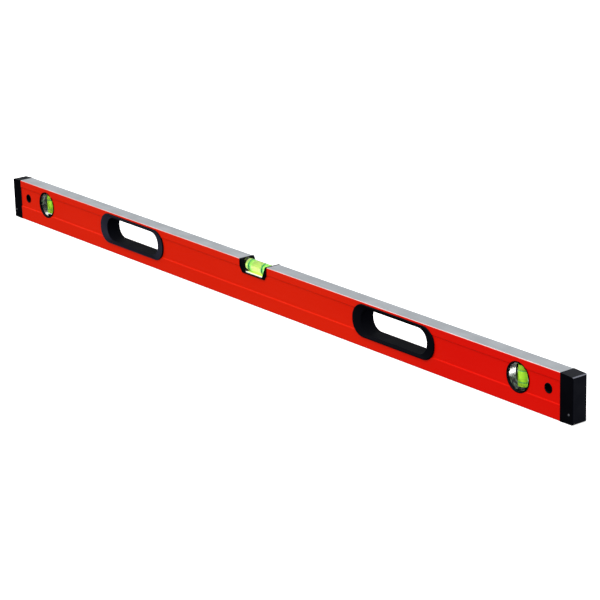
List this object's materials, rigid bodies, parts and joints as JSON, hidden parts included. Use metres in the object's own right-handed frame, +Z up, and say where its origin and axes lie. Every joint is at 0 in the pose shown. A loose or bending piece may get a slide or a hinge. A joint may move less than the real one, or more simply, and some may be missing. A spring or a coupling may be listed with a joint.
{
  "type": "spirit level",
  "caption": "Box-section carpenter's spirit level with hand grips, a top-read centre vial, plumb vials, hanging holes and soft end caps.",
  "frame": {"origin": "middle of the bottom working face", "axes": "+X along the beam, +Y through its thickness towards the back, +Z up"},
  "size_m": [1.202, 0.0256, 0.06],
  "materials": {
    "beam": "orange-red powder coat on extruded aluminium, top and bottom faces milled bare",
    "end_cap": "moulded soft cap, fine grain, near black with a blue cast",
    "grip": "satin moulded plastic, near black with a blue cast",
    "hard_plastic": "black moulded plastic",
    "reflector": "white moulded plastic",
    "clear_acrylic": "clear cast acrylic, polished",
    "index_rings": "dark green ink ring",
    "vial_liquid": "clear fluorescent yellow-green liquid",
    "bubble": "air bubble"
  },
  "bodies": {
    "level": {"beam": "beam", "left_end_cap": "end_cap", "left_end_plug": "hard_plastic", "left_grip_front": "grip", "left_hang_bush_front": "hard_plastic", "left_plumb_bezel_front": "hard_plastic", "left_grip_back": "grip", "left_hang_bush_back": "hard_plastic", "left_plumb_bezel_back": "hard_plastic", "left_plumb_block": "clear_acrylic", "left_plumb_plug": "clear_acrylic", "left_plumb_rings": "index_rings", "left_plumb_liquid": "vial_liquid", "right_end_cap": "end_cap", "right_end_plug": "hard_plastic", "right_grip_front": "grip", "right_hang_bush_front": "hard_plastic", "right_plumb_bezel_front": "hard_plastic", "right_grip_back": "grip", "right_hang_bush_back": "hard_plastic", "right_plumb_bezel_back": "hard_plastic", "right_plumb_block": "clear_acrylic", "right_plumb_plug": "clear_acrylic", "right_plumb_rings": "index_rings", "right_plumb_liquid": "vial_liquid", "centre_vial_housing": "hard_plastic", "centre_vial_reflector": "reflector", "centre_vial_barrel": "clear_acrylic", "centre_vial_plug": "clear_acrylic", "centre_vial_rings": "index_rings", "centre_vial_liquid": "vial_liquid"},
    "centre_bubble": {"centre_vial_bubble": "bubble"},
    "left_bubble": {"left_plumb_bubble": "bubble"},
    "right_bubble": {"right_plumb_bubble": "bubble"}
  },
  "joints": [
    {"name": "centre_bubble_slide", "type": "slide", "parent": "level", "child": "centre_bubble", "axis": [1, 0, 0], "range_m": [-0.0115, 0.0115], "stiffness_N_per_m": 3, "deforming": ["centre_vial_liquid"]},
    {"name": "left_bubble_slide", "type": "slide", "parent": "level", "child": "left_bubble", "axis": [0, 0, 1], "range_m": [-0.0188, 0], "stiffness_N_per_m": 4, "springref_m": 0.003, "deforming": ["left_plumb_liquid"]},
    {"name": "right_bubble_slide", "type": "slide", "parent": "level", "child": "right_bubble", "axis": [0, 0, 1], "range_m": [-0.0188, 0], "stiffness_N_per_m": 4, "springref_m": 0.003, "deforming": ["right_plumb_liquid"]}
  ]
}
